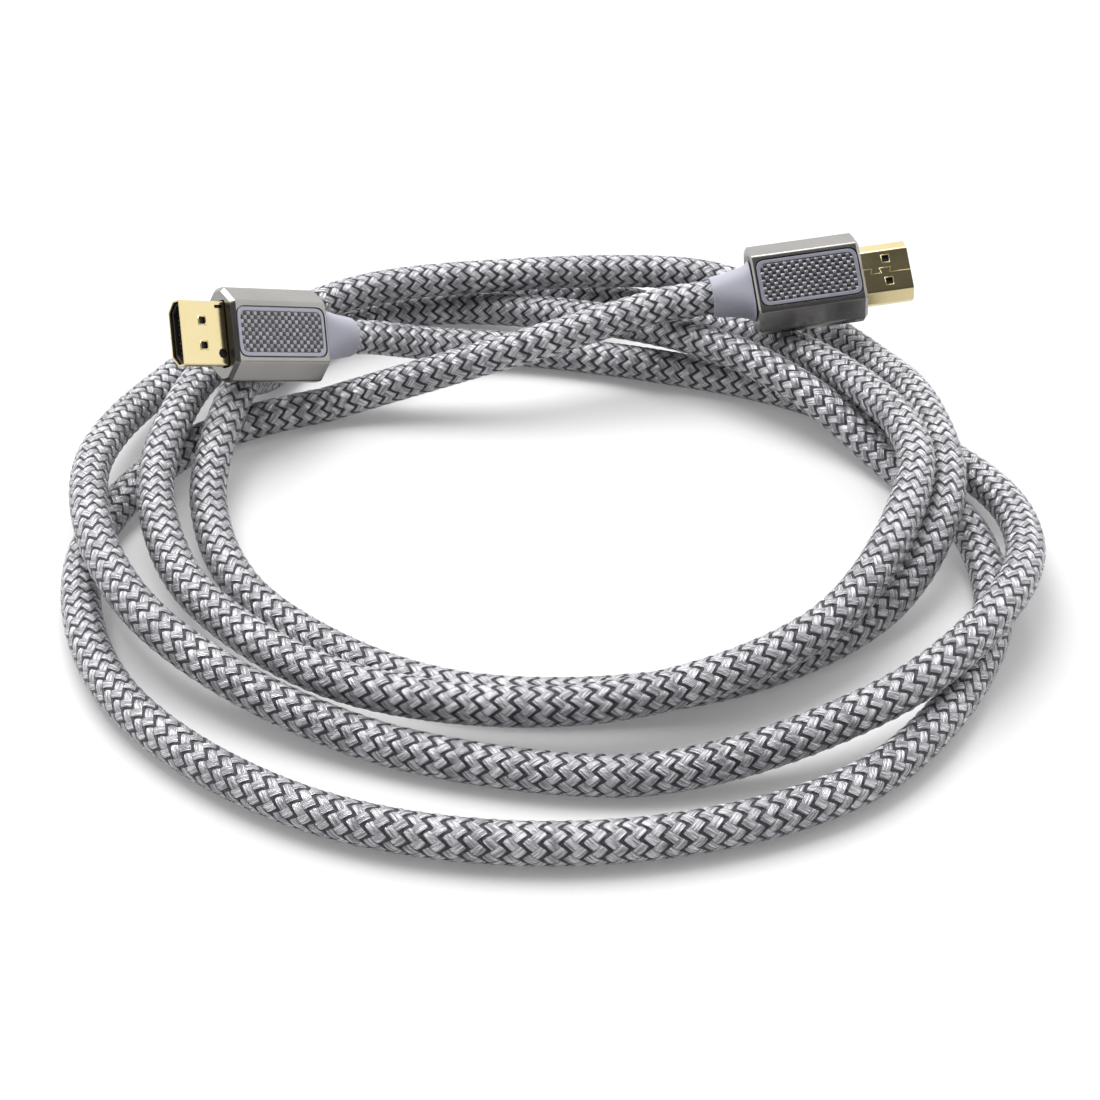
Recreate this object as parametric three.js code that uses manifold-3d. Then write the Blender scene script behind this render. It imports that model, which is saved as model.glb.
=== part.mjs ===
// A braided video cable lying in a flat coil of four loose turns, with a metal plug on each end.
// Millimetres, +Z up. The coil rests on the plane z = 0, centred on the origin.
import * as THREE from 'three'
import { mergeVertices } from 'three/addons/utils/BufferGeometryUtils.js'
import Module from 'manifold-3d'

const wasm = await Module()
wasm.setup()
const { Manifold, Mesh: SolidMesh } = wasm

// Clear space between pieces that meet or nest, and the finer one inside the plug's mouth.
const fitGap = 0.3
const mouthGap = 0.2

// Cord.
const cordDiameter = 8
const cordSides = 12
const cordSteps = 80
const cordLead = 8

// Plug shell: a D-shaped sleeve, wide face at +Z, seam face at -Z.
const shellWidth = 13.9
const shellHeight = 4.45
const shellSeamWidth = 9.6
const shellSideHeight = 2.4
const shellCornerRadius = 0.45
const shellWall = 0.35
const shellReach = 11.3
const shellRoot = 4

// Openings in the shell, measured forwards from the housing's front.
const latchWindowSize = 1.5
const latchWindowSpacing = 5.3
const latchWindowReach = 6
const roundNotchRadius = 1.1
const roundNotchReach = 1.4
const roundNotchOffset = 4.35
const slotNotchLength = 2
const slotNotchWidth = 0.7
const slotNotchReach = 1.6
const slotNotchOffset = 5.7

// Insulator in the shell, with the mouth that the contacts line.
const insulatorRecess = 0.6
const insulatorWall = 0.5
const mouthDepth = 9

// Contacts: two combs, each joined by a bar at the back of the mouth.
const contactPitch = 1
const contactWidth = 0.45
const contactThickness = 0.25
const contactLength = 7.2
const contactSetback = 0.8
const contactBarLength = 0.7
const wideRowContacts = 10
const seamRowContacts = 9

// Housing: an eight-sided bar, widest at its two short side flats.
const housingLength = 25
const housingWidth = 20.4
const housingThickness = 10.6
const housingFaceWidth = 13.2
const housingSideHeight = 2.8
const housingEdgeRadius = 0.5
const housingFrontChamfer = 0.8
const housingRearChamfer = 0.4

// Grip panel let into each flat face: a plate with a raised rim round a woven field.
const panelLength = 23
const panelWidth = 10.6
const panelCornerRadius = 2
const panelThickness = 0.9
const panelRimWidth = 0.8
const panelFieldDepth = 0.25

// Strain relief between housing and cord.
const reliefLength = 9.5
const reliefFrontWidth = 13.5
const reliefFrontHeight = 9
const reliefEndDiameter = 8.9
const reliefRings = 8
const reliefSides = 32
const reliefFrontPower = 3.4

// Where each plug lies: the housing's centre, and the heading, rise and roll of its axis in degrees.
const plugPoses = {
  right: { centre: [58, 62, 23.2], heading: 8, rise: 4.5, roll: 222 },
  left: { centre: [-61.5, 40.3, 22.8], heading: 219, rise: 22, roll: -57 },
}

// The cord's centreline from the right plug to the left one, turn by turn.
const firstTurn = [
  [20, 55, 20.2], [-8, 46.5, 15.5], [-50, 41.5, 4.1], [-80, 23, 4.1], [-94, -15, 4.1],
  [-80, -57, 4.1], [-41, -87, 4.1], [8, -94.5, 4.1], [55, -80, 4.1], [83, -44, 4.1],
  [87, -9, 4.1], [73, 19, 4.3], [54, 40, 10.8], [31, 57, 12.6],
]
const secondTurn = [
  [-1, 77.5, 6.4], [-29, 83, 4.1], [-49, 73.5, 4.1], [-64, 53.5, 4.8], [-68.5, 34, 12.5],
  [-71, 1, 6.5], [-56, -31, 4.1], [-19, -55, 4.1], [27, -54, 4.1], [63, -34, 4.8],
  [80.5, -6, 12], [81, 27, 12.5], [73, 55, 8], [57, 75, 8.5],
]
const thirdTurn = [
  [34, 86, 12], [-10, 84, 13], [-48, 75, 12.7], [-74, 49.5, 10.8], [-81, 19, 12.5],
  [-80, -7, 10.5], [-66, -36, 9], [-34, -60, 9], [10, -64.5, 9.5], [50, -47, 12],
  [71, -14, 16.5], [74, 16, 16.5], [56, 55, 10.5],
]
const fourthTurn = [
  [26, 83, 4.1], [-20, 94.5, 4.1], [-62, 80.5, 4.1], [-87, 45, 7], [-95, 1, 12.5],
  [-77, -41, 10.5], [-35, -68, 4.4], [15, -78, 4.1], [60, -65, 10], [88, -37, 12.8],
  [95, -6, 8.5], [83, 24, 4.1], [55, 46, 4.1], [23, 58, 4.1], [-8, 65, 4.1], [-27, 64.5, 5.8],
]

const gold = new THREE.MeshStandardMaterial({ color: 0xe0cf94, metalness: 1, roughness: 0.2 })
const satinMetal = new THREE.MeshStandardMaterial({ color: 0x9c9c9a, metalness: 0.9, roughness: 0.35 })
const wovenPanel = new THREE.MeshStandardMaterial({ color: 0x55555e, metalness: 0.2, roughness: 0.4 })
const greyRubber = new THREE.MeshStandardMaterial({ color: 0xa3a3b1, metalness: 0, roughness: 0.55 })
const darkPlastic = new THREE.MeshStandardMaterial({ color: 0x1c1a1c, metalness: 0, roughness: 0.5 })
const greyBraid = new THREE.MeshStandardMaterial({ color: 0x9a9a9e, metalness: 0, roughness: 0.8 })

// A geometry as a solid that can be joined and cut.
function solid(geometry) {
  const bare = new THREE.BufferGeometry()
  const flat = geometry.index ? geometry.toNonIndexed() : geometry
  bare.setAttribute('position', flat.getAttribute('position'))
  const merged = mergeVertices(bare, 1e-4)
  return new Manifold(new SolidMesh({
    numProp: 3,
    vertProperties: new Float32Array(merged.getAttribute('position').array),
    triVerts: new Uint32Array(merged.index.array),
  }))
}

// A named mesh made of a solid.
function pieceOf(name, body, material) {
  const { vertProperties, triVerts } = body.getMesh()
  const geometry = new THREE.BufferGeometry()
  geometry.setAttribute('position', new THREE.BufferAttribute(vertProperties, 3))
  geometry.setIndex(new THREE.BufferAttribute(triVerts, 1))
  geometry.computeVertexNormals()
  const mesh = new THREE.Mesh(geometry, material)
  mesh.name = name
  return mesh
}

// A polygon of [a, b] points, counterclockwise, with every edge moved inwards by a distance.
function insetPolygon(points, distance) {
  return points.map((corner, i) => {
    const before = points.at(i - 1)
    const after = points[(i + 1) % points.length]
    const incoming = new THREE.Vector2(corner[0] - before[0], corner[1] - before[1]).normalize()
    const outgoing = new THREE.Vector2(after[0] - corner[0], after[1] - corner[1]).normalize()
    const mitre = new THREE.Vector2(-incoming.y - outgoing.y, incoming.x + outgoing.x)
    mitre.multiplyScalar(distance / (1 + incoming.dot(outgoing)))
    return [corner[0] + mitre.x, corner[1] + mitre.y]
  })
}

// A shape through a polygon's points, with each corner rounded.
function roundedShape(points, radius) {
  const shape = new THREE.Shape()
  points.forEach((corner, i) => {
    const here = new THREE.Vector2(...corner)
    const before = new THREE.Vector2(...points.at(i - 1))
    const after = new THREE.Vector2(...points[(i + 1) % points.length])
    const entry = here.clone().lerp(before, radius / here.distanceTo(before))
    const exit = here.clone().lerp(after, radius / here.distanceTo(after))
    if (i === 0) {
      shape.moveTo(entry.x, entry.y)
    } else {
      shape.lineTo(entry.x, entry.y)
    }
    shape.quadraticCurveTo(here.x, here.y, exit.x, exit.y)
  })
  shape.closePath()
  return shape
}

function rectangle(length, width) {
  const a = length / 2
  const b = width / 2
  return [[-a, -b], [a, -b], [a, b], [-a, b]]
}

// A shape drawn in Y and Z, extruded from one X to another.
function prismAlongX(shape, from, to) {
  const geometry = new THREE.ExtrudeGeometry(shape, {
    depth: to - from,
    bevelEnabled: false,
    curveSegments: 3,
  })
  const turn = new THREE.Matrix4().makeBasis(
    new THREE.Vector3(0, 1, 0),
    new THREE.Vector3(0, 0, 1),
    new THREE.Vector3(1, 0, 0),
  )
  geometry.applyMatrix4(turn)
  return solid(geometry.translate(from, 0, 0))
}

// A shape drawn in X and Y, extruded from one Z to another.
function prismAlongZ(shape, from, to, x = 0, y = 0) {
  const geometry = new THREE.ExtrudeGeometry(shape, {
    depth: to - from,
    bevelEnabled: false,
    curveSegments: 4,
  })
  return solid(geometry.translate(x, y, from))
}

// A skin through rings of equal point count, each at its own X, closed by a flat cap at both ends.
function loft(rings) {
  const sides = rings[0].points.length
  const positions = rings.flatMap(({ x, points }) => points.flatMap(([y, z]) => [x, y, z]))
  const faces = []
  for (let ring = 0; ring < rings.length - 1; ring += 1) {
    for (let side = 0; side < sides; side += 1) {
      const next = (side + 1) % sides
      const a = ring * sides + side
      const b = ring * sides + next
      faces.push(a, b, b + sides, a, b + sides, a + sides)
    }
  }
  const lastRing = (rings.length - 1) * sides
  for (let side = 1; side < sides - 1; side += 1) {
    faces.push(0, side + 1, side)
    faces.push(lastRing, lastRing + side, lastRing + side + 1)
  }
  const geometry = new THREE.BufferGeometry()
  geometry.setAttribute('position', new THREE.Float32BufferAttribute(positions, 3))
  geometry.setIndex(faces)
  return solid(geometry)
}

const housingFront = housingLength / 2
const housingRear = -housingLength / 2
const shellBack = housingFront - shellRoot
const shellFront = housingFront + shellReach
const reliefFront = housingRear - fitGap
const reliefEnd = housingRear - reliefLength
const cordExit = reliefEnd - fitGap

const shellSection = [
  [-shellSeamWidth / 2, -shellHeight / 2],
  [shellSeamWidth / 2, -shellHeight / 2],
  [shellWidth / 2, shellHeight / 2 - shellSideHeight],
  [shellWidth / 2, shellHeight / 2],
  [-shellWidth / 2, shellHeight / 2],
  [-shellWidth / 2, shellHeight / 2 - shellSideHeight],
]

const housingSection = [
  [-housingFaceWidth / 2, -housingThickness / 2],
  [housingFaceWidth / 2, -housingThickness / 2],
  [housingWidth / 2, -housingSideHeight / 2],
  [housingWidth / 2, housingSideHeight / 2],
  [housingFaceWidth / 2, housingThickness / 2],
  [-housingFaceWidth / 2, housingThickness / 2],
  [-housingWidth / 2, housingSideHeight / 2],
  [-housingWidth / 2, -housingSideHeight / 2],
]

// The shell's section, moved inwards by a distance.
function shellShape(inset) {
  return roundedShape(insetPolygon(shellSection, inset), Math.max(0.15, shellCornerRadius - inset))
}

function plugShell() {
  const bore = prismAlongX(shellShape(shellWall), shellBack - 1, shellFront + 1)
  const windowShape = roundedShape(rectangle(latchWindowSize, latchWindowSize), 0.15)
  const windowX = housingFront + latchWindowReach
  const windows = [-1, 1].map((side) => {
    const y = side * latchWindowSpacing / 2
    return prismAlongZ(windowShape, -shellHeight, shellHeight, windowX, y)
  })
  const roundNotch = prismAlongZ(
    new THREE.Shape().absarc(0, 0, roundNotchRadius, 0, 2 * Math.PI),
    0,
    shellHeight,
    housingFront + roundNotchReach,
    roundNotchOffset,
  )
  const slotNotch = prismAlongZ(
    roundedShape(rectangle(slotNotchLength, slotNotchWidth), 0.2),
    0,
    shellHeight,
    housingFront + slotNotchReach,
    -slotNotchOffset,
  )
  return prismAlongX(shellShape(0), shellBack, shellFront)
    .subtract(Manifold.union([bore, ...windows, roundNotch, slotNotch]))
}

const mouthInset = shellWall + mouthGap + insulatorWall
const mouthFront = shellFront - insulatorRecess
const mouthBack = mouthFront - mouthDepth

function plugInsulator() {
  const body = prismAlongX(shellShape(shellWall + mouthGap), shellBack, mouthFront)
  return body.subtract(prismAlongX(shellShape(mouthInset), mouthBack, mouthFront + 1))
}

// A comb of contacts beside the mouth's wide wall (side 1) or its seam wall (side -1).
function contactRow(count, side) {
  const wall = side * (shellHeight / 2 - mouthInset - mouthGap)
  const low = Math.min(wall, wall - side * contactThickness)
  const front = mouthFront - contactSetback
  const barBack = front - contactLength - contactBarLength
  const barWidth = (count - 1) * contactPitch + contactWidth
  const bar = new THREE.BoxGeometry(contactBarLength, barWidth, contactThickness)
  bar.translate(barBack + contactBarLength / 2, 0, low + contactThickness / 2)
  const tines = Array.from({ length: count }, (_, i) => {
    const length = contactLength + contactBarLength / 2
    const tine = new THREE.BoxGeometry(length, contactWidth, contactThickness)
    const y = (i - (count - 1) / 2) * contactPitch
    return solid(tine.translate(front - length / 2, y, low + contactThickness / 2))
  })
  return Manifold.union([solid(bar), ...tines])
}

// The housing's outline, moved inwards by a distance, as the points of one ring.
function housingRing(x, inset) {
  const shape = roundedShape(insetPolygon(housingSection, inset), housingEdgeRadius)
  return { x, points: shape.extractPoints(3).shape.map((point) => [point.x, point.y]) }
}

const panelOuter = housingThickness / 2
const panelInner = panelOuter - panelThickness

function plugHousing() {
  const body = loft([
    housingRing(housingRear, housingRearChamfer),
    housingRing(housingRear + housingRearChamfer, 0),
    housingRing(housingFront - housingFrontChamfer, 0),
    housingRing(housingFront, housingFrontChamfer),
  ])
  const recessShape = roundedShape(
    rectangle(panelLength + 2 * fitGap, panelWidth + 2 * fitGap),
    panelCornerRadius + fitGap,
  )
  const upperRecess = prismAlongZ(recessShape, panelInner - fitGap, panelOuter + 1)
  const lowerRecess = prismAlongZ(recessShape, -panelOuter - 1, -panelInner + fitGap)
  const socket = prismAlongX(shellShape(-fitGap), shellBack - fitGap, housingFront + 1)
  return body.subtract(Manifold.union([upperRecess, lowerRecess, socket]))
}

// The panel of the face at +Z (side 1) or -Z (side -1).
function gripPanel(side) {
  const plate = prismAlongZ(
    roundedShape(rectangle(panelLength, panelWidth), panelCornerRadius),
    0,
    panelThickness,
  )
  const field = prismAlongZ(
    roundedShape(
      rectangle(panelLength - 2 * panelRimWidth, panelWidth - 2 * panelRimWidth),
      panelCornerRadius - panelRimWidth / 2,
    ),
    panelThickness - panelFieldDepth,
    panelThickness + 1,
  )
  const upper = plate.subtract(field).translate([0, 0, panelInner])
  return side > 0 ? upper : upper.rotate([180, 0, 0])
}

// A ring that eases from a squarish oval at the housing to a circle at the cord.
function reliefRing(along) {
  const ease = Math.sqrt(along)
  const halfWidth = THREE.MathUtils.lerp(reliefFrontWidth, reliefEndDiameter, ease) / 2
  const halfHeight = THREE.MathUtils.lerp(reliefFrontHeight, reliefEndDiameter, ease) / 2
  const power = THREE.MathUtils.lerp(reliefFrontPower, 2, ease)
  const points = Array.from({ length: reliefSides }, (_, i) => {
    const angle = i / reliefSides * 2 * Math.PI
    const [c, s] = [Math.cos(angle), Math.sin(angle)]
    return [
      halfWidth * Math.sign(c) * Math.abs(c) ** (2 / power),
      halfHeight * Math.sign(s) * Math.abs(s) ** (2 / power),
    ]
  })
  return { x: THREE.MathUtils.lerp(reliefFront, reliefEnd, along), points }
}

function strainRelief() {
  const rings = Array.from({ length: reliefRings + 1 }, (_, i) => reliefRing(1 - i / reliefRings))
  return loft(rings)
}

// One plug, with its axis along +X and its middle at the housing's centre.
function plug(side) {
  const group = new THREE.Group()
  group.add(
    pieceOf(`${side}_plug_shell`, plugShell(), gold),
    pieceOf(`${side}_plug_insulator`, plugInsulator(), darkPlastic),
    pieceOf(`${side}_contacts_wide_row`, contactRow(wideRowContacts, 1), gold),
    pieceOf(`${side}_contacts_seam_row`, contactRow(seamRowContacts, -1), gold),
    pieceOf(`${side}_housing`, plugHousing(), satinMetal),
    pieceOf(`${side}_panel_wide_side`, gripPanel(1), wovenPanel),
    pieceOf(`${side}_panel_seam_side`, gripPanel(-1), wovenPanel),
    pieceOf(`${side}_strain_relief`, strainRelief(), greyRubber),
  )
  const { centre, heading, rise, roll } = plugPoses[side]
  const [x, y, z] = [roll, -rise, heading].map(THREE.MathUtils.degToRad)
  group.position.set(...centre)
  group.rotation.set(x, y, z, 'ZYX')
  group.updateMatrixWorld(true)
  return group
}

// A curve through the cord's points that never sinks into the plane it lies on.
class LyingCurve extends THREE.CatmullRomCurve3 {
  getPoint(t, target) {
    const point = super.getPoint(t, target)
    point.z = Math.max(point.z, cordDiameter / 2)
    return point
  }
}

function cordBetween(rightPlug, leftPlug) {
  const exitOf = (from, lead) => from.localToWorld(new THREE.Vector3(cordExit - lead, 0, 0))
  const listed = [...firstTurn, ...secondTurn, ...thirdTurn, ...fourthTurn]
  const curve = new LyingCurve([
    exitOf(rightPlug, 0),
    exitOf(rightPlug, cordLead),
    ...listed.map((point) => new THREE.Vector3(...point)),
    exitOf(leftPlug, cordLead),
    exitOf(leftPlug, 0),
  ], false, 'catmullrom', 0.5)
  const section = new THREE.Shape()
  for (let i = 0; i < cordSides; i += 1) {
    const angle = i / cordSides * 2 * Math.PI
    const point = [Math.cos(angle), Math.sin(angle)].map((v) => v * cordDiameter / 2)
    if (i === 0) {
      section.moveTo(...point)
    } else {
      section.lineTo(...point)
    }
  }
  section.closePath()
  const tube = new THREE.ExtrudeGeometry(section, { steps: cordSteps, extrudePath: curve })
  return pieceOf('cable', solid(tube), greyBraid)
}

const group = new THREE.Group()
const rightPlug = plug('right')
const leftPlug = plug('left')
group.add(rightPlug, leftPlug, cordBetween(rightPlug, leftPlug))

export default group
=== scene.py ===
import math

import bmesh
import bpy
import numpy as np
from mathutils import Matrix, Vector


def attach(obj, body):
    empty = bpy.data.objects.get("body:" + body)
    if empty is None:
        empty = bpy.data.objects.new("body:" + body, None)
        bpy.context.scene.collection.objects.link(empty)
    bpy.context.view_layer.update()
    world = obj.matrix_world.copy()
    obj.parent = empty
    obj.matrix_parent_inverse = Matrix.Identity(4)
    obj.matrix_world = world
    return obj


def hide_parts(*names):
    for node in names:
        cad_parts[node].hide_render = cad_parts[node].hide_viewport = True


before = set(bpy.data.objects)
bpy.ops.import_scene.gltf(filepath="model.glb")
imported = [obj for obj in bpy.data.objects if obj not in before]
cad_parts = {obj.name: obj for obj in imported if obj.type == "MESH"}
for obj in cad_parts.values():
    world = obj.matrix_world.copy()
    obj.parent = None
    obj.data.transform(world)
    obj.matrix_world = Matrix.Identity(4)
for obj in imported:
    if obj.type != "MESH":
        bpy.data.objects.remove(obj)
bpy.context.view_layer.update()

# Camera, where the photographer stood: metres, looking towards +Y and down.
CAMERA_PLACE = (0, -0.339, 0.25484)
CAMERA_TILT = math.radians(52.5)
CAMERA_LENS = 66.24
CAMERA_SENSOR = 36
CAMERA_CLIP = 0.01

# Light: bright walls behind and beside, a dark room behind the camera, a softbox high at the back.
BRIGHT_WALLS = 1.55
DARK_ROOM = 0.12
ROOM_DIRECTION = (0.05, -0.85, 0.52)
ROOM_FADE = (0.42, 0.77)
SOFTBOX_PLACE = (-0.25, 0.4, 1.15)
SOFTBOX_SIZE = 0.9
SOFTBOX_POWER = 15
# The floor's glow is painted light that lifts the shadows on it.
FLOOR_GLOW = 0.16
FLOOR_REACH = 2
FLOOR_DROP = 0.0001

# Cord: it leaves a relief straight for the length of its lead, and enters the relief's bore.
CORD_DIAMETER = 0.008
CORD_LEAD = 0.008
CORD_ENTRY = 0.0016
ROUTE_STEP = 0.001
SPAN_SAMPLES = 40
CORE_RADIUS = 0.00345
CORE_SIDES = 16
CORE_STEPS = 1000

# Braid: flat tows that cross, two over two, a wide silver one and a narrow charcoal one by turns.
PAIRS_EACH_WAY = 8
PAIR_PITCH = 0.00336
TOW_STEPS = 4100
SILVER_TOW = {
    "Tow_Width": 0.00163, "Radius": 0.0037, "Rise": 0.00017, "Crown": 0.00012, "Across": 4,
}
CHARCOAL_TOW = {
    "Tow_Width": 0.00058, "Radius": 0.00368, "Rise": 0.00012, "Crown": 0.00006, "Across": 3,
}

# The charcoal tow's share of a pair's width, which sets where the tows rise and dip.
CHARCOAL_SHARE = 0.26

# Threads of a tow; their twist, fibres and patches of painted sheen are counted per metre along it.
SILVER_THREADS = 6
CHARCOAL_THREADS = 2
THREAD_TWIST = 9000
FIBRE_SCALE = 2200
SHEEN_SCALE = 420

# Plug, along its own axis from the housing's middle; -x is towards the cord.
HOUSING_LENGTH = 0.025
HOUSING_THICKNESS = 0.0106
SHELL_REACH = 0.0113
SHELL_HEIGHT = 0.00445
PANEL_LENGTH = 0.023
PANEL_WIDTH = 0.0106
PANEL_RIM = 0.0008
PANEL_FIELD_DEPTH = 0.00025
LATCH_WINDOW_SIZE = 0.0015
LATCH_WINDOW_SPACING = 0.0053
LATCH_WINDOW_REACH = 0.006
FIT_GAP = 0.0003

# Raised lines on the shell; its seam crosses from side to side in undercut steps.
BEAD_RADIUS = 0.00015
BEAD_ROUNDING = 2
SEAM_OFFSET = 0.0006
SEAM_CROSSINGS = 3
SEAM_FIRST_CROSSING = 0.0024
SEAM_CROSSING_PITCH = 0.0022
SEAM_UNDERCUT = 0.0004

# Merging of the CAD nodes' loose triangles into flat faces.
WELD_DISTANCE = 2e-6
FLAT_ANGLE = math.radians(1.5)

# Softened edges: how wide each is, and from which angle an edge is one.
SHELL_EDGE = 0.00006
CONTACT_EDGE = 0.00003
HOUSING_EDGE = 0.0002
PANEL_EDGE = 0.0001
EDGE_SEGMENTS = 2
BEVEL_ANGLE = math.radians(34)
SHARP_ANGLE = math.radians(50)

# Strain relief: rings from a squarish front to a round end, and a bore with a flared mouth.
RELIEF_LENGTH = 0.0095
RELIEF_END = -HOUSING_LENGTH / 2 - RELIEF_LENGTH
RELIEF_FRONT_WIDTH = 0.0135
RELIEF_FRONT_HEIGHT = 0.009
RELIEF_FRONT_POWER = 3.4
RELIEF_END_DIAMETER = 0.0089
RELIEF_END_POWER = 2
RELIEF_END_ROUNDING = 0.00012
RELIEF_RINGS = 26
RELIEF_RINGS_REACH = 0.985
RELIEF_SIDES = 64
RELIEF_BORE_RADIUS = 0.00412
RELIEF_BORE_DEPTH = 0.0022
BORE_MOUTH_FLARE = 0.00005
BORE_MOUTH_DEPTH = 0.00006

# Weave of the grip panels. Cells are counted from a number that keeps every count above zero.
WEAVE_CELL_LENGTH = 0.0009
WEAVE_CELL_WIDTH = 0.00088
WEAVE_RELIEF = 0.00015
WEAVE_STEPS_PER_CELL = 6
WEAVE_OVERLAP = 0.0001
WEAVE_LIFT = 0.00002
WEAVE_FIRST_CELL = 100
RIBBON_FILAMENTS = 7

# A cell is a small cushion, which falls away more across its ribbon than along it.
FALL_ALONG_RIBBON = 0.45
FALL_ACROSS_RIBBON = 0.85

# Where each plug lies: the middle of its housing, and its turns in degrees.
PLUG_POSES = {
    "right": {"centre": (0.058, 0.062, 0.0232), "heading": 8, "rise": 4.5, "roll": 222},
    "left": {"centre": (-0.0615, 0.0403, 0.0228), "heading": 219, "rise": 22, "roll": -57},
}

# The cord's centreline from the right plug to the left one, turn by turn.
FIRST_TURN = [
    (0.020, 0.055, 0.0202), (-0.008, 0.0465, 0.0155), (-0.050, 0.0415, 0.0041),
    (-0.080, 0.023, 0.0041), (-0.094, -0.015, 0.0041), (-0.080, -0.057, 0.0041),
    (-0.041, -0.087, 0.0041), (0.008, -0.0945, 0.0041), (0.055, -0.080, 0.0041),
    (0.083, -0.044, 0.0041), (0.087, -0.009, 0.0041), (0.073, 0.019, 0.0043),
    (0.054, 0.040, 0.0108), (0.031, 0.057, 0.0126),
]
SECOND_TURN = [
    (-0.001, 0.0775, 0.0064), (-0.029, 0.083, 0.0041), (-0.049, 0.0735, 0.0041),
    (-0.064, 0.0535, 0.0048), (-0.0685, 0.034, 0.0125), (-0.071, 0.001, 0.0065),
    (-0.056, -0.031, 0.0041), (-0.019, -0.055, 0.0041), (0.027, -0.054, 0.0041),
    (0.063, -0.034, 0.0048), (0.0805, -0.006, 0.012), (0.081, 0.027, 0.0125),
    (0.073, 0.055, 0.008), (0.057, 0.075, 0.0085),
]
THIRD_TURN = [
    (0.034, 0.086, 0.012), (-0.010, 0.084, 0.013), (-0.048, 0.075, 0.0127),
    (-0.074, 0.0495, 0.0108), (-0.081, 0.019, 0.0125), (-0.080, -0.007, 0.0105),
    (-0.066, -0.036, 0.009), (-0.034, -0.060, 0.009), (0.010, -0.0645, 0.0095),
    (0.050, -0.047, 0.012), (0.071, -0.014, 0.0165), (0.074, 0.016, 0.0165),
    (0.056, 0.055, 0.0105),
]
FOURTH_TURN = [
    (0.026, 0.083, 0.0041), (-0.020, 0.0945, 0.0041), (-0.062, 0.0805, 0.0041),
    (-0.087, 0.045, 0.007), (-0.095, 0.001, 0.0125), (-0.077, -0.041, 0.0105),
    (-0.035, -0.068, 0.0044), (0.015, -0.078, 0.0041), (0.060, -0.065, 0.010),
    (0.088, -0.037, 0.0128), (0.095, -0.006, 0.0085), (0.083, 0.024, 0.0041),
    (0.055, 0.046, 0.0041), (0.023, 0.058, 0.0041), (-0.008, 0.065, 0.0041),
    (-0.027, 0.0645, 0.0058),
]


class Term:
    """A socket of a node tree, with arithmetic that adds Math nodes."""

    def __init__(self, tree, socket):
        self.tree = tree
        self.socket = socket

    def __add__(self, other):
        return self.tree.math("ADD", self, other)

    __radd__ = __add__

    def __sub__(self, other):
        return self.tree.math("SUBTRACT", self, other)

    def __rsub__(self, other):
        return self.tree.math("SUBTRACT", other, self)

    def __mul__(self, other):
        return self.tree.math("MULTIPLY", self, other)

    __rmul__ = __mul__

    def __truediv__(self, other):
        return self.tree.math("DIVIDE", self, other)

    def __rtruediv__(self, other):
        return self.tree.math("DIVIDE", other, self)

    def __neg__(self):
        return self.tree.math("MULTIPLY", self, -1)

    def __abs__(self):
        return self.tree.math("ABSOLUTE", self)


# A Mix node's sockets for colours.
MIX_FACTOR = 0
MIX_FIRST = 6
MIX_SECOND = 7
MIX_RESULT = 2


class Tree:
    """A node tree that is written as expressions."""

    def __init__(self, node_tree):
        self.node_tree = node_tree

    def add(self, kind, settings=None, sockets=None, output=0):
        """A new node's output, if it has one; its settings are made before its sockets."""
        node = self.node_tree.nodes.new(kind)
        for name, value in (settings or {}).items():
            setattr(node, name, value)
        for key, value in (sockets or {}).items():
            self.feed(node.inputs[key], value)
        return Term(self, node.outputs[output]) if len(node.outputs) else None

    def feed(self, socket, value):
        if isinstance(value, Term):
            self.node_tree.links.new(value.socket, socket)
        else:
            socket.default_value = value

    def math(self, operation, first, second=None):
        sockets = {0: first}
        if second is not None:
            sockets[1] = second
        return self.add("ShaderNodeMath", {"operation": operation}, sockets)

    def vector(self, operation, first, second):
        return self.add("ShaderNodeVectorMath", {"operation": operation}, {0: first, 1: second})

    def scaled(self, vector, factor):
        return self.add(
            "ShaderNodeVectorMath", {"operation": "SCALE"}, {0: vector, "Scale": factor}
        )

    def parts(self, vector):
        """The x, y and z of a vector."""
        x = self.add("ShaderNodeSeparateXYZ", sockets={0: vector})
        return [Term(self, socket) for socket in x.socket.node.outputs]

    def joined(self, x=0.0, y=0.0, z=0.0):
        """The vector with this x, y and z."""
        return self.add("ShaderNodeCombineXYZ", sockets={"X": x, "Y": y, "Z": z})

    def fade(self, value, low, high):
        """0 below low, 1 above high, and smooth between them."""
        return self.add(
            "ShaderNodeMapRange",
            {"interpolation_type": "SMOOTHSTEP"},
            {"Value": value, "From Min": low, "From Max": high},
        )

    def mix_colour(self, factor, first, second):
        return self.add(
            "ShaderNodeMix",
            {"data_type": "RGBA"},
            {MIX_FACTOR: factor, MIX_FIRST: first, MIX_SECOND: second},
            output=MIX_RESULT,
        )


class Finish(Tree):
    """A material's tree, whose shader starts from the values given."""

    def __init__(self, name, **shader_sockets):
        self.material = bpy.data.materials.new(name)
        self.material.use_nodes = True
        super().__init__(self.material.node_tree)
        self.shader = self.node_tree.nodes["Principled BSDF"]
        for key, value in shader_sockets.items():
            self.shader.inputs[key.replace("_", " ")].default_value = value

    def set(self, socket, value):
        self.feed(self.shader.inputs[socket], value)

    def object_place(self):
        return self.add("ShaderNodeTexCoord", output="Object")

    def noise(self, place, scale, detail=2, roughness=0.5):
        return self.add(
            "ShaderNodeTexNoise",
            sockets={"Vector": place, "Scale": scale, "Detail": detail, "Roughness": roughness},
        )

    def bump(self, height, distance, strength):
        return self.add(
            "ShaderNodeBump",
            sockets={"Height": height, "Distance": distance, "Strength": strength},
        )


def rgb(red, green, blue):
    return (red, green, blue, 1)


# Finishes.

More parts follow.
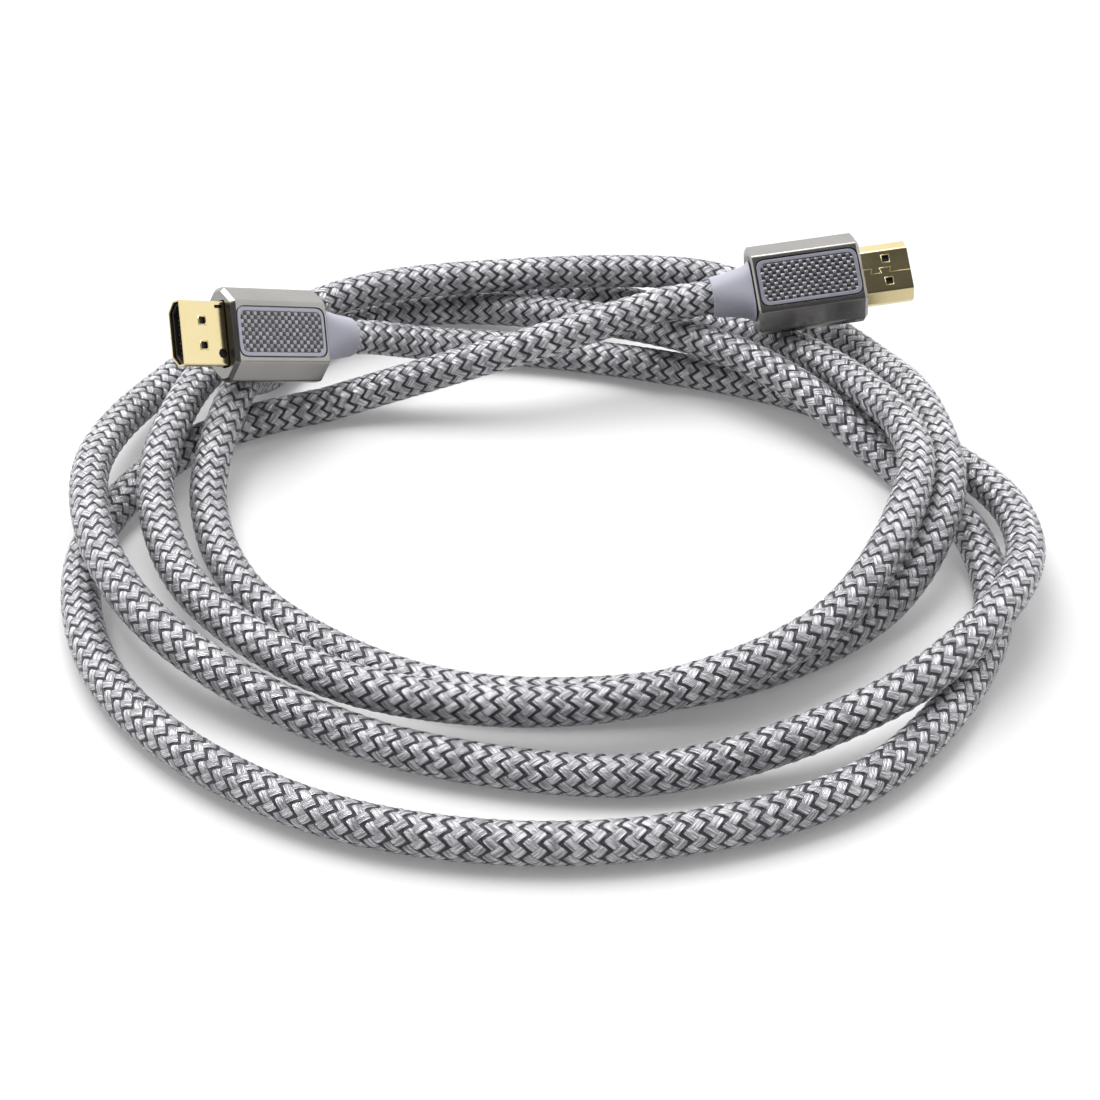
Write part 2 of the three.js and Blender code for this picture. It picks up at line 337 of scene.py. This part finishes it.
def yarn_finish(name, threads, dull, bright, dark_fibre_and_valley_shade, edge_shade, metallic):
    """Threads side by side in a tow; the map's x runs along it in metres, y from -1 to 1 across."""
    finish = Finish(
        name, Metallic=metallic, Sheen_Weight=0.15, Sheen_Roughness=0.4, Specular_IOR_Level=0.5
    )
    uv = finish.add("ShaderNodeUVMap", {"uv_map": "UVMap"})
    along, across, _ = finish.parts(uv)
    thread = (across * 0.5 + 0.5) * threads
    offset = finish.math("FRACT", thread) - 0.5
    thread_number = finish.math("FLOOR", thread)
    thread_crown = 1 - offset * offset * 4
    twist = finish.math("SINE", along * THREAD_TWIST + offset * 5 + thread_number * 2.4)
    fibre_place = finish.joined(along * FIBRE_SCALE, across * 9, thread_number)
    fibre = finish.noise(fibre_place, scale=1, detail=3)
    # Painted sheen: random patches along each thread make the tow brighter, standing in for the
    # yarn's changing sheen.
    sheen_place = finish.joined(along * SHEEN_SCALE, thread_number * 3.1)
    sheen = finish.noise(sheen_place, scale=1, detail=1)
    # Painted shade: the edge and valley masks darken the tow towards its edges and between its
    # threads. The dark fibre streaks that share the valley colour are the yarn's own tone.
    edge = finish.fade(abs(across), 0.7, 1)
    valley = 1 - finish.fade(thread_crown, 0, 0.6)
    yarn = finish.mix_colour(finish.fade(sheen, 0.3, 0.7), dull, bright)
    streaked = finish.mix_colour(fibre * 0.4, yarn, dark_fibre_and_valley_shade)
    lined = finish.mix_colour(valley * 0.6, streaked, dark_fibre_and_valley_shade)
    finish.set("Base Color", finish.mix_colour(edge * 0.6, lined, edge_shade))
    finish.set("Roughness", 0.27 + fibre * 0.2)
    height = thread_crown * 0.8 + twist * 0.12 + fibre * 0.2
    finish.set("Normal", finish.bump(height, distance=0.00014, strength=0.9))
    return finish.material


def core_finish():
    """A near-black tube under the braid, seen only in its gaps; its colour is painted shade for
    those gaps.
    """
    finish = Finish("charcoal_core", Specular_IOR_Level=0.3)
    grain = finish.noise(finish.object_place(), scale=2500, detail=3)
    finish.set(
        "Base Color", finish.mix_colour(grain, rgb(0.012, 0.012, 0.014), rgb(0.045, 0.045, 0.05))
    )
    finish.set("Roughness", 0.6 + grain * 0.25)
    finish.set("Normal", finish.bump(grain, distance=0.0001, strength=0.5))
    return finish.material


def gold_finish():
    """Bright gold plate with faint wear and handling marks."""
    finish = Finish("gold_plate", Metallic=1.0)
    place = finish.object_place()
    marks = finish.noise(place, scale=900, detail=4, roughness=0.65)
    wear = finish.noise(place, scale=160, detail=3)
    finish.set(
        "Base Color", finish.mix_colour(wear, rgb(0.57, 0.47, 0.255), rgb(0.63, 0.55, 0.325))
    )
    finish.set("Roughness", 0.1 + wear * 0.12 + marks * 0.06)
    finish.set("Normal", finish.bump(marks, distance=0.00003, strength=0.35))
    return finish.material


def housing_finish():
    """Satin metal, finely blasted, with rubbed patches."""
    finish = Finish("satin_metal", Metallic=0.95)
    place = finish.object_place()
    grain = finish.noise(place, scale=6000)
    cloud = finish.noise(place, scale=120, detail=3)
    finish.set(
        "Base Color", finish.mix_colour(cloud, rgb(0.24, 0.232, 0.222), rgb(0.31, 0.30, 0.287))
    )
    finish.set("Roughness", 0.16 + cloud * 0.1 + grain * 0.06)
    finish.set("Normal", finish.bump(grain, distance=0.00002, strength=0.5))
    return finish.material


def panel_finish():
    """The panel's rim: smooth lavender grey lacquer."""
    finish = Finish("lavender_lacquer", Metallic=0.35, Coat_Roughness=0.15)
    place = finish.object_place()
    cloud = finish.noise(place, scale=300, detail=3)
    grain = finish.noise(place, scale=4000)
    finish.set(
        "Base Color", finish.mix_colour(cloud, rgb(0.27, 0.27, 0.33), rgb(0.34, 0.34, 0.40))
    )
    finish.set("Roughness", 0.26 + cloud * 0.1)
    finish.set("Normal", finish.bump(grain, distance=0.00001, strength=0.4))
    return finish.material


def weave_finish():
    """Grey and black ribbons woven one over one, of fine filaments; the map counts cells."""
    finish = Finish("grey_black_weave", Coat_Weight=0.5, Coat_Roughness=0.12)
    uv = finish.add("ShaderNodeUVMap", {"uv_map": "UVMap"})
    x, y, _ = finish.parts(uv)
    column, row = finish.math("FLOOR", x), finish.math("FLOOR", y)
    across_x, across_y = finish.math("FRACT", x), finish.math("FRACT", y)
    parity = finish.math("FRACT", (column + row) * 0.5) * 2
    warp = finish.math("PINGPONG", across_y * RIBBON_FILAMENTS, 0.5) * 2
    weft = finish.math("PINGPONG", across_x * RIBBON_FILAMENTS, 0.5) * 2
    filament = warp * (1 - parity) + weft * parity
    cell = finish.add("ShaderNodeTexWhiteNoise", sockets={"Vector": finish.joined(column, row)})
    grey = finish.mix_colour(cell, rgb(0.20, 0.20, 0.22), rgb(0.33, 0.33, 0.36))
    black = finish.mix_colour(cell, rgb(0.012, 0.012, 0.016), rgb(0.03, 0.03, 0.035))
    woven = finish.mix_colour(parity, grey, black)
    rim_x = abs(across_x - 0.5) * 2
    rim_y = abs(across_y - 0.5) * 2
    gap = finish.fade(finish.math("MAXIMUM", rim_x, rim_y), 0.78, 1)
    finish.set("Base Color", finish.mix_colour(gap * 0.8, woven, rgb(0.01, 0.01, 0.012)))
    finish.set("Metallic", 0.7 - parity * 0.5)
    finish.set("Roughness", 0.3 + filament * 0.15)
    finish.set("Normal", finish.bump(filament, distance=0.00002, strength=0.5))
    return finish.material


def relief_finish():
    """Soft lavender-grey moulding with a fine matte skin."""
    finish = Finish("lavender_rubber", Specular_IOR_Level=0.4)
    place = finish.object_place()
    skin = finish.noise(place, scale=5200)
    cloud = finish.noise(place, scale=140, detail=3)
    finish.set(
        "Base Color", finish.mix_colour(cloud, rgb(0.31, 0.31, 0.37), rgb(0.38, 0.38, 0.44))
    )
    finish.set("Roughness", 0.42 + cloud * 0.12 + skin * 0.08)
    finish.set("Normal", finish.bump(skin, distance=0.00003, strength=0.5))
    return finish.material


def insulator_finish():
    """Matte black moulded plastic."""
    finish = Finish("black_moulding", Specular_IOR_Level=0.35)
    grain = finish.noise(finish.object_place(), scale=4000)
    finish.set(
        "Base Color", finish.mix_colour(grain, rgb(0.012, 0.011, 0.012), rgb(0.022, 0.02, 0.022))
    )
    finish.set("Roughness", 0.45 + grain * 0.15)
    finish.set("Normal", finish.bump(grain, distance=0.00003, strength=0.4))
    return finish.material


def floor_finish():
    """White paper with a faint tooth, and a slight painted glow that lifts the shadows on it."""
    finish = Finish(
        "white_paper",
        Specular_IOR_Level=0.2,
        Emission_Color=rgb(1, 1, 1),
        Emission_Strength=FLOOR_GLOW,
    )
    tooth = finish.noise(finish.object_place(), scale=900)
    finish.set(
        "Base Color", finish.mix_colour(tooth, rgb(0.56, 0.56, 0.56), rgb(0.59, 0.59, 0.59))
    )
    finish.set("Roughness", 0.75 + tooth * 0.1)
    return finish.material


# Places.

def plug_frame(side):
    """From a plug's own axes to the part's."""
    pose = PLUG_POSES[side]
    turn_z = Matrix.Rotation(math.radians(pose["heading"]), 4, "Z")
    turn_y = Matrix.Rotation(math.radians(-pose["rise"]), 4, "Y")
    turn_x = Matrix.Rotation(math.radians(pose["roll"]), 4, "X")
    return Matrix.Translation(pose["centre"]) @ turn_z @ turn_y @ turn_x


def plug_axis(side):
    """The direction in which a plug points, away from its cord."""
    return np.array(plug_frame(side).to_3x3() @ Vector((1, 0, 0)))


def cord_exit(side, lead=0.0):
    """The point on a plug's axis where the cord begins, or further out along it."""
    return plug_frame(side) @ Vector((RELIEF_END - FIT_GAP - lead, 0, 0))


def route_points(step):
    """Points a step apart on a smooth line through the listed ones, kept above the floor."""
    listed = np.array([
        cord_exit("right"),
        cord_exit("right", CORD_LEAD),
        *FIRST_TURN,
        *SECOND_TURN,
        *THIRD_TURN,
        *FOURTH_TURN,
        cord_exit("left", CORD_LEAD),
        cord_exit("left"),
    ])
    first = 2 * listed[0] - listed[1]
    last = 2 * listed[-1] - listed[-2]
    known = np.vstack([first, listed, last])
    share = np.linspace(0, 1, SPAN_SAMPLES, endpoint=False)[:, None]
    spans = []
    for p0, p1, p2, p3 in zip(known, known[1:], known[2:], known[3:]):
        leave, arrive = (p2 - p0) / 2, (p3 - p1) / 2
        spans.append(
            (2 * share**3 - 3 * share**2 + 1) * p1
            + (share**3 - 2 * share**2 + share) * leave
            + (-2 * share**3 + 3 * share**2) * p2
            + (share**3 - share**2) * arrive
        )
    fine = np.vstack([*spans, listed[-1:]])
    fine[:, 2] = np.maximum(fine[:, 2], CORD_DIAMETER / 2)
    travelled = np.r_[0, np.cumsum(np.linalg.norm(np.diff(fine, axis=0), axis=1))]
    wanted = np.linspace(0, travelled[-1], round(travelled[-1] / step) + 1)
    return np.stack([np.interp(wanted, travelled, fine[:, axis]) for axis in range(3)], axis=1)


def length_of(points):
    return float(np.linalg.norm(np.diff(points, axis=0), axis=1).sum())


# Making.

def object_of(name, mesh, material=None):
    made = bpy.data.objects.new(name, mesh)
    bpy.context.scene.collection.objects.link(made)
    if material is not None:
        mesh.materials.clear()
        mesh.materials.append(material)
    return made


def shade_smooth(mesh):
    for polygon in mesh.polygons:
        polygon.use_smooth = True


def add_line(curve, points, closed=False):
    spline = curve.splines.new("POLY")
    spline.points.add(len(points) - 1)
    spline.points.foreach_set("co", np.c_[points, np.ones(len(points))].ravel())
    spline.use_cyclic_u = closed


def settled(host, name, material=None):
    """The host's modified shape as a plain mesh object; the host goes."""
    graph = bpy.context.evaluated_depsgraph_get()
    mesh = bpy.data.meshes.new_from_object(host.evaluated_get(graph))
    mesh.name = name
    bpy.data.objects.remove(host)
    return object_of(name, mesh, material)


def grown(name, group, material, **inputs):
    """A piece made by a node group, whose inputs are set by name before it is first evaluated."""
    host = object_of(f"{name}_host", bpy.data.meshes.new(f"{name}_host"))
    modifier = host.modifiers.new("grown", "NODES")
    modifier.node_group = group
    identifiers = {
        item.name: item.identifier
        for item in group.interface.items_tree
        if item.item_type == "SOCKET" and item.in_out == "INPUT"
    }
    for key, value in {**inputs, "Material": material}.items():
        modifier[identifiers[key.replace("_", " ")]] = value
    bpy.context.view_layer.update()
    return settled(host, name)


class Maker(Tree):
    """A geometry node group with named inputs."""

    def __init__(self, name, **inputs):
        group = bpy.data.node_groups.new(name, "GeometryNodeTree")
        super().__init__(group)
        group.interface.new_socket("Geometry", in_out="OUTPUT", socket_type="NodeSocketGeometry")
        for key, kind in {**inputs, "Material": "Material"}.items():
            group.interface.new_socket(
                key.replace("_", " "), in_out="INPUT", socket_type=f"NodeSocket{kind}"
            )
        self.group_input = group.nodes.new("NodeGroupInput")

    def input(self, name):
        return Term(self, self.group_input.outputs[name])

    def mapped(self, geometry, x, y):
        """The geometry with the map that its material reads."""
        return self.add(
            "GeometryNodeStoreNamedAttribute",
            {"data_type": "FLOAT2", "domain": "CORNER"},
            {"Geometry": geometry, "Name": "UVMap", "Value": self.joined(x, y)},
        )

    def finish(self, geometry):
        """Ends the group in Realize Instances and Set Material."""
        real = self.add("GeometryNodeRealizeInstances", sockets={"Geometry": geometry})
        smooth = self.add("GeometryNodeSetShadeSmooth", sockets={"Geometry": real})
        painted = self.add(
            "GeometryNodeSetMaterial",
            sockets={"Geometry": smooth, "Material": self.input("Material")},
        )
        self.add("NodeGroupOutput", sockets={"Geometry": painted})
        return self.node_tree


def route_of(maker):
    return maker.add(
        "GeometryNodeObjectInfo", sockets={"Object": maker.input("Route")}, output="Geometry"
    )


def core_maker():
    """A round tube along the route."""
    maker = Maker("core_tube", Route="Object", Steps="Int", Sides="Int", Radius="Float")
    stepped = maker.add(
        "GeometryNodeResampleCurve",
        sockets={"Curve": route_of(maker), "Count": maker.input("Steps")},
    )
    ring = maker.add(
        "GeometryNodeCurvePrimitiveCircle",
        sockets={"Resolution": maker.input("Sides"), "Radius": maker.input("Radius")},
    )
    tube = maker.add(
        "GeometryNodeCurveToMesh",
        sockets={"Curve": stepped, "Profile Curve": ring, "Fill Caps": True},
    )
    return maker.finish(tube)


def braid_maker():
    """Tows of one kind, wound one way, each over two of the others and then under two."""
    maker = Maker(
        "braid_tows",
        Route="Object",
        Route_Length="Float",
        Tows="Int",
        Hand="Float",
        Winding_Pitch="Float",
        Radius="Float",
        Rise="Float",
        Crown="Float",
        Tow_Width="Float",
        Tow_Start="Float",
        Float_Shift="Float",
        Steps="Int",
        Across="Int",
    )
    hand = maker.input("Hand")
    tows = maker.input("Tows")
    radius = maker.input("Radius")
    winding_pitch = maker.input("Winding Pitch")
    full_turn = 2 * math.pi

    # A flat strip for each tow, from -0.5 to 0.5 along and from -1 to 1 across.
    strip = maker.add(
        "GeometryNodeMeshGrid",
        sockets={
            "Size X": 1.0,
            "Size Y": 2.0,
            "Vertices X": maker.input("Steps"),
            "Vertices Y": maker.input("Across"),
        },
    )
    starts = maker.add("GeometryNodePoints", sockets={"Count": tows})
    tow_strips = maker.add(
        "GeometryNodeInstanceOnPoints", sockets={"Points": starts, "Instance": strip}
    )
    numbered = maker.add(
        "GeometryNodeStoreNamedAttribute",
        {"data_type": "FLOAT", "domain": "INSTANCE"},
        {"Geometry": tow_strips, "Name": "tow", "Value": maker.add("GeometryNodeInputIndex")},
    )
    real = maker.add("GeometryNodeRealizeInstances", sockets={"Geometry": numbered})
    tow = maker.add("GeometryNodeInputNamedAttribute", {"data_type": "FLOAT"}, {"Name": "tow"})

    share, minus_across, _ = maker.parts(maker.add("GeometryNodeInputPosition"))
    across = -minus_across
    along = (share + 0.5) * maker.input("Route Length")
    mapped = maker.mapped(real, along, across)

    # Where a point of the strip lies round the cord, along it and out from its centreline.
    started = (tow + maker.input("Tow Start")) * full_turn / tows
    centre_angle = hand * along * full_turn / winding_pitch + started
    lean = maker.math("ARCTANGENT", radius * full_turn / winding_pitch)
    half_width = across * maker.input("Tow Width") * 0.5
    angle = centre_angle + half_width * maker.math("COSINE", lean) / radius
    place = along - hand * half_width * maker.math("SINE", lean)
    wave = maker.math("COSINE", centre_angle * tows - maker.input("Float Shift"))
    crown = maker.input("Crown") * (1 - across * across)
    reach = radius + hand * maker.input("Rise") * wave + crown

    sampled = maker.add(
        "GeometryNodeSampleCurve",
        {"mode": "LENGTH"},
        {"Curves": route_of(maker), "Length": place},
        output="Position",
    )
    outputs = sampled.socket.node.outputs
    tangent, normal = Term(maker, outputs["Tangent"]), Term(maker, outputs["Normal"])
    side = maker.vector("CROSS_PRODUCT", tangent, normal)
    outwards = maker.vector(
        "ADD",
        maker.scaled(normal, maker.math("COSINE", angle) * reach),
        maker.scaled(side, maker.math("SINE", angle) * reach),
    )
    wound = maker.add(
        "GeometryNodeSetPosition",
        sockets={"Geometry": mapped, "Position": maker.vector("ADD", sampled, outwards)},
    )
    return maker.finish(wound)


def weave_maker():
    """A flat field of cells woven one over one, each cell a small cushion."""
    maker = Maker(
        "woven_field",
        Length="Float",
        Width="Float",
        Cell_Length="Float",
        Cell_Width="Float",
        Relief="Float",
        Steps_Per_Cell="Int",
    )
    columns = maker.input("Length") / maker.input("Cell Length")
    rows = maker.input("Width") / maker.input("Cell Width")
    steps = maker.input("Steps Per Cell")
    field = maker.add(
        "GeometryNodeMeshGrid",
        sockets={
            "Size X": maker.input("Length"),
            "Size Y": maker.input("Width"),
            "Vertices X": columns * steps,
            "Vertices Y": rows * steps,
        },
    )
    x, y, _ = maker.parts(maker.add("GeometryNodeInputPosition"))
    cell_x = x / maker.input("Cell Length") + WEAVE_FIRST_CELL
    cell_y = y / maker.input("Cell Width") + WEAVE_FIRST_CELL
    mapped = maker.mapped(field, cell_x, cell_y)
    column, row = maker.math("FLOOR", cell_x), maker.math("FLOOR", cell_y)
    off_x = maker.math("FRACT", cell_x) * 2 - 1
    off_y = maker.math("FRACT", cell_y) * 2 - 1
    parity = maker.math("FRACT", (column + row) * 0.5) * 2
    more_across = FALL_ACROSS_RIBBON - FALL_ALONG_RIBBON
    fall_x = off_x * off_x * (FALL_ALONG_RIBBON + parity * more_across)
    fall_y = off_y * off_y * (FALL_ACROSS_RIBBON - parity * more_across)
    cushion = (1 - fall_x) * (1 - fall_y) * maker.input("Relief")
    raised = maker.add(
        "GeometryNodeSetPosition",
        sockets={"Geometry": mapped, "Offset": maker.joined(z=cushion)},
    )
    return maker.finish(raised)


def merged_copy(node, name):
    """A CAD node's shape with its loose triangles merged into flat faces."""
    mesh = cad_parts[node].data.copy()
    mesh.name = name
    shape = bmesh.new()
    shape.from_mesh(mesh)
    bmesh.ops.remove_doubles(shape, verts=shape.verts, dist=WELD_DISTANCE)
    bmesh.ops.dissolve_limit(shape, angle_limit=FLAT_ANGLE, verts=shape.verts, edges=shape.edges)
    shape.to_mesh(mesh)
    shape.free()
    return mesh


def dressed_copy(node, material, slot, bevel):
    """A CAD node's shape with softened edges, which stands for the node."""
    host = object_of(f"{node}_host", merged_copy(node, f"{node}_host"), material)
    shade_smooth(host.data)
    host.data.set_sharp_from_angle(angle=SHARP_ANGLE)
    edge = host.modifiers.new("edge", "BEVEL")
    edge.width = bevel
    edge.segments = EDGE_SEGMENTS
    edge.limit_method = "ANGLE"
    edge.angle_limit = BEVEL_ANGLE
    shading = host.modifiers.new("shading", "WEIGHTED_NORMAL")
    shading.keep_sharp = False
    piece = settled(host, f"{node}_dressed", material)
    shade_smooth(piece.data)
    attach(piece, "root")
    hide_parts(node)
    return piece


def route_curve(points):
    """The centreline as a curve for the node groups to follow."""
    curve = bpy.data.curves.new("cord_route", "CURVE")
    curve.dimensions = "3D"
    curve.twist_mode = "MINIMUM"
    add_line(curve, points)
    return object_of("cord_route", curve)


def relief_ring(along):
    """A ring that eases from a squarish oval at the housing to a circle at the cord."""
    ease = math.sqrt(along)
    half_width = ((1 - ease) * RELIEF_FRONT_WIDTH + ease * RELIEF_END_DIAMETER) / 2
    half_height = ((1 - ease) * RELIEF_FRONT_HEIGHT + ease * RELIEF_END_DIAMETER) / 2
    power = (1 - ease) * RELIEF_FRONT_POWER + ease * RELIEF_END_POWER
    front = -HOUSING_LENGTH / 2 - FIT_GAP
    x = (1 - along) * front + along * RELIEF_END
    ring = []
    for i in range(RELIEF_SIDES):
        angle = 2 * math.pi * i / RELIEF_SIDES
        c, s = math.cos(angle), math.sin(angle)
        ring.append((
            x,
            half_width * math.copysign(abs(c) ** (2 / power), c),
            half_height * math.copysign(abs(s) ** (2 / power), s),
        ))
    return ring


def bore_ring(x, radius):
    """A round ring with as many corners as a relief ring."""
    return [
        (x, radius * math.cos(angle), radius * math.sin(angle))
        for angle in np.linspace(0, 2 * math.pi, RELIEF_SIDES, endpoint=False)
    ]


def relief_piece(side, material):
    """The strain relief, with a bored end that the cord enters."""
    rings = [relief_ring(along) for along in np.linspace(0, RELIEF_RINGS_REACH, RELIEF_RINGS)]
    rings += [
        bore_ring(RELIEF_END, RELIEF_END_DIAMETER / 2 - RELIEF_END_ROUNDING),
        bore_ring(RELIEF_END, RELIEF_BORE_RADIUS + BORE_MOUTH_FLARE),
        bore_ring(RELIEF_END + BORE_MOUTH_DEPTH, RELIEF_BORE_RADIUS),
        bore_ring(RELIEF_END + RELIEF_BORE_DEPTH, RELIEF_BORE_RADIUS),
    ]
    corners = [corner for ring in rings for corner in ring]
    faces = [tuple(range(RELIEF_SIDES))]
    for ring in range(len(rings) - 1):
        for i in range(RELIEF_SIDES):
            a = ring * RELIEF_SIDES + i
            b = ring * RELIEF_SIDES + (i + 1) % RELIEF_SIDES
            faces.append((a, a + RELIEF_SIDES, b + RELIEF_SIDES, b))
    last = (len(rings) - 1) * RELIEF_SIDES
    faces.append(tuple(last + i for i in reversed(range(RELIEF_SIDES))))
    mesh = bpy.data.meshes.new(f"{side}_relief_dressed")
    mesh.from_pydata(corners, [], faces)
    mesh.transform(plug_frame(side))
    shape = bmesh.new()
    shape.from_mesh(mesh)
    bmesh.ops.recalc_face_normals(shape, faces=shape.faces)
    shape.to_mesh(mesh)
    shape.free()
    piece = object_of(f"{side}_relief_dressed", mesh, material)
    shade_smooth(mesh)
    mesh.set_sharp_from_angle(angle=SHARP_ANGLE)
    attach(piece, "root")
    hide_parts(f"{side}_strain_relief")
    return piece


def shell_beads(side, material):
    """Fine raised lines on the shell: its stepped seam, and a rim round each latch window."""
    curve = bpy.data.curves.new(f"{side}_beads_host", "CURVE")
    curve.dimensions = "3D"
    curve.bevel_depth = BEAD_RADIUS
    curve.bevel_resolution = BEAD_ROUNDING

    front = HOUSING_LENGTH / 2
    offset = -SEAM_OFFSET
    seam = [(front, offset)]
    for crossing in range(SEAM_CROSSINGS):
        x = front + SEAM_FIRST_CROSSING + crossing * SEAM_CROSSING_PITCH
        seam += [(x, offset), (x - SEAM_UNDERCUT, -offset)]
        offset = -offset
    seam.append((front + SHELL_REACH, offset))
    add_line(curve, [(x, y, -SHELL_HEIGHT / 2) for x, y in seam])

    half = LATCH_WINDOW_SIZE / 2 + BEAD_RADIUS
    corners = [(-half, -half), (half, -half), (half, half), (-half, half)]
    x = front + LATCH_WINDOW_REACH
    for y in (-LATCH_WINDOW_SPACING / 2, LATCH_WINDOW_SPACING / 2):
        for z in (-SHELL_HEIGHT / 2, SHELL_HEIGHT / 2):
            add_line(curve, [(x + dx, y + dy, z) for dx, dy in corners], closed=True)

    piece = settled(object_of(f"{side}_beads_host", curve), f"{side}_shell_beads", material)
    piece.data.transform(plug_frame(side))
    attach(piece, "root")
    return piece


def weave_field(side, face, turn, group, material):
    """The woven field inside a panel's rim, on the face that the turn gives."""
    field = grown(
        f"{side}_weave_{face}",
        group,
        material,
        Length=PANEL_LENGTH - 2 * PANEL_RIM + WEAVE_OVERLAP,
        Width=PANEL_WIDTH - 2 * PANEL_RIM + WEAVE_OVERLAP,
        Cell_Length=WEAVE_CELL_LENGTH,
        Cell_Width=WEAVE_CELL_WIDTH,
        Relief=WEAVE_RELIEF,
        Steps_Per_Cell=WEAVE_STEPS_PER_CELL,
    )
    lift = HOUSING_THICKNESS / 2 - PANEL_FIELD_DEPTH + WEAVE_LIFT
    field.data.transform(
        plug_frame(side) @ Matrix.Rotation(turn, 4, "X") @ Matrix.Translation((0, 0, lift))
    )
    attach(field, "root")
    return field


def studio():
    """The camera, the white floor, the softbox and the light that comes from all round."""
    scene = bpy.context.scene
    scene.view_settings.view_transform = "Standard"

    camera = bpy.data.objects.new("camera", bpy.data.cameras.new("camera"))
    camera.data.lens = CAMERA_LENS
    camera.data.sensor_width = CAMERA_SENSOR
    camera.data.clip_start = CAMERA_CLIP
    camera.location = CAMERA_PLACE
    camera.rotation_euler = (CAMERA_TILT, 0, 0)
    scene.collection.objects.link(camera)
    scene.camera = camera

    floor_mesh = bpy.data.meshes.new("floor")
    corners = [(-1, -1), (1, -1), (1, 1), (-1, 1)]
    floor_mesh.from_pydata(
        [(x * FLOOR_REACH, y * FLOOR_REACH, -FLOOR_DROP) for x, y in corners],
        [],
        [(0, 1, 2, 3)],
    )
    object_of("floor", floor_mesh, floor_finish())

    softbox = bpy.data.lights.new("back_softbox", "AREA")
    softbox.shape = "SQUARE"
    softbox.size = SOFTBOX_SIZE
    softbox.energy = SOFTBOX_POWER
    lamp = bpy.data.objects.new("back_softbox", softbox)
    lamp.location = SOFTBOX_PLACE
    lamp.rotation_euler = (-lamp.location).to_track_quat("-Z", "Y").to_euler()
    scene.collection.objects.link(lamp)

    world = bpy.data.worlds.new("studio_air")
    world.use_nodes = True
    scene.world = world
    air = Tree(world.node_tree)
    direction = air.add("ShaderNodeTexCoord", output="Generated")
    towards_room = air.add(
        "ShaderNodeVectorMath",
        {"operation": "DOT_PRODUCT"},
        {0: direction, 1: ROOM_DIRECTION},
        output="Value",
    )
    glow = BRIGHT_WALLS - air.fade(towards_room, *ROOM_FADE) * (BRIGHT_WALLS - DARK_ROOM)
    background = world.node_tree.nodes["Background"]
    air.feed(background.inputs["Color"], air.add(
        "ShaderNodeCombineColor", sockets={"Red": glow, "Green": glow, "Blue": glow}
    ))


# The scene.

studio()

route = route_points(ROUTE_STEP)
entry = FIT_GAP + CORD_ENTRY
drawn_route = np.vstack([
    route[0] + plug_axis("right") * entry,
    route,
    route[-1] + plug_axis("left") * entry,
])
route_object = route_curve(drawn_route)

silver = yarn_finish(
    "silver_yarn",
    SILVER_THREADS,
    dull=rgb(0.27, 0.27, 0.29),
    bright=rgb(0.84, 0.84, 0.87),
    dark_fibre_and_valley_shade=rgb(0.18, 0.18, 0.20),
    edge_shade=rgb(0.10, 0.10, 0.11),
    metallic=0.75,
)
charcoal = yarn_finish(
    "charcoal_yarn",
    CHARCOAL_THREADS,
    dull=rgb(0.015, 0.015, 0.019),
    bright=rgb(0.04, 0.04, 0.047),
    dark_fibre_and_valley_shade=rgb(0.008, 0.008, 0.009),
    edge_shade=rgb(0.008, 0.008, 0.009),
    metallic=0,
)
core = grown(
    "cord_core",
    core_maker(),
    core_finish(),
    Route=route_object,
    Steps=CORE_STEPS,
    Sides=CORE_SIDES,
    Radius=CORE_RADIUS,
)
braid_group = braid_maker()
# A kind's name, finish and sizes, where in a pair its tows start, and what shifts their floats.
braid_kinds = [
    ("silver", silver, SILVER_TOW, 0.0, CHARCOAL_SHARE),
    ("charcoal", charcoal, CHARCOAL_TOW, 0.5, 1 - CHARCOAL_SHARE),
]
braid_pieces = []
for lay, hand in (("right_lay", 1.0), ("left_lay", -1.0)):
    for kind, finish, tow_sizes, start, shift in braid_kinds:
        braid_pieces.append(grown(
            f"braid_{kind}_{lay}",
            braid_group,
            finish,
            Route=route_object,
            Route_Length=length_of(drawn_route),
            Tows=PAIRS_EACH_WAY,
            Hand=hand,
            Winding_Pitch=PAIRS_EACH_WAY * PAIR_PITCH,
            Tow_Start=start,
            Float_Shift=shift * math.pi / 2,
            Steps=TOW_STEPS,
            **tow_sizes,
        ))
bpy.data.objects.remove(route_object)

for piece in (core, *braid_pieces):
    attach(piece, "root")
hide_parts("cable")

gold = gold_finish()
satin = housing_finish()
lacquer = panel_finish()
weave = weave_finish()
rubber = relief_finish()
moulding = insulator_finish()
weave_group = weave_maker()

dressed_nodes = [
    ("plug_shell", gold, "plug_gold", SHELL_EDGE),
    ("plug_insulator", moulding, "insulator_plastic", SHELL_EDGE),
    ("contacts_wide_row", gold, "plug_gold", CONTACT_EDGE),
    ("contacts_seam_row", gold, "plug_gold", CONTACT_EDGE),
    ("housing", satin, "housing_metal", HOUSING_EDGE),
    ("panel_wide_side", lacquer, "panel_weave", PANEL_EDGE),
    ("panel_seam_side", lacquer, "panel_weave", PANEL_EDGE),
]
for side in ("right", "left"):
    [dressed_copy(f"{side}_{node}", *dress) for node, *dress in dressed_nodes]
    relief_piece(side, rubber)
    shell_beads(side, gold)
    weave_field(side, "wide_side", 0, weave_group, weave)
    weave_field(side, "seam_side", math.pi, weave_group, weave)
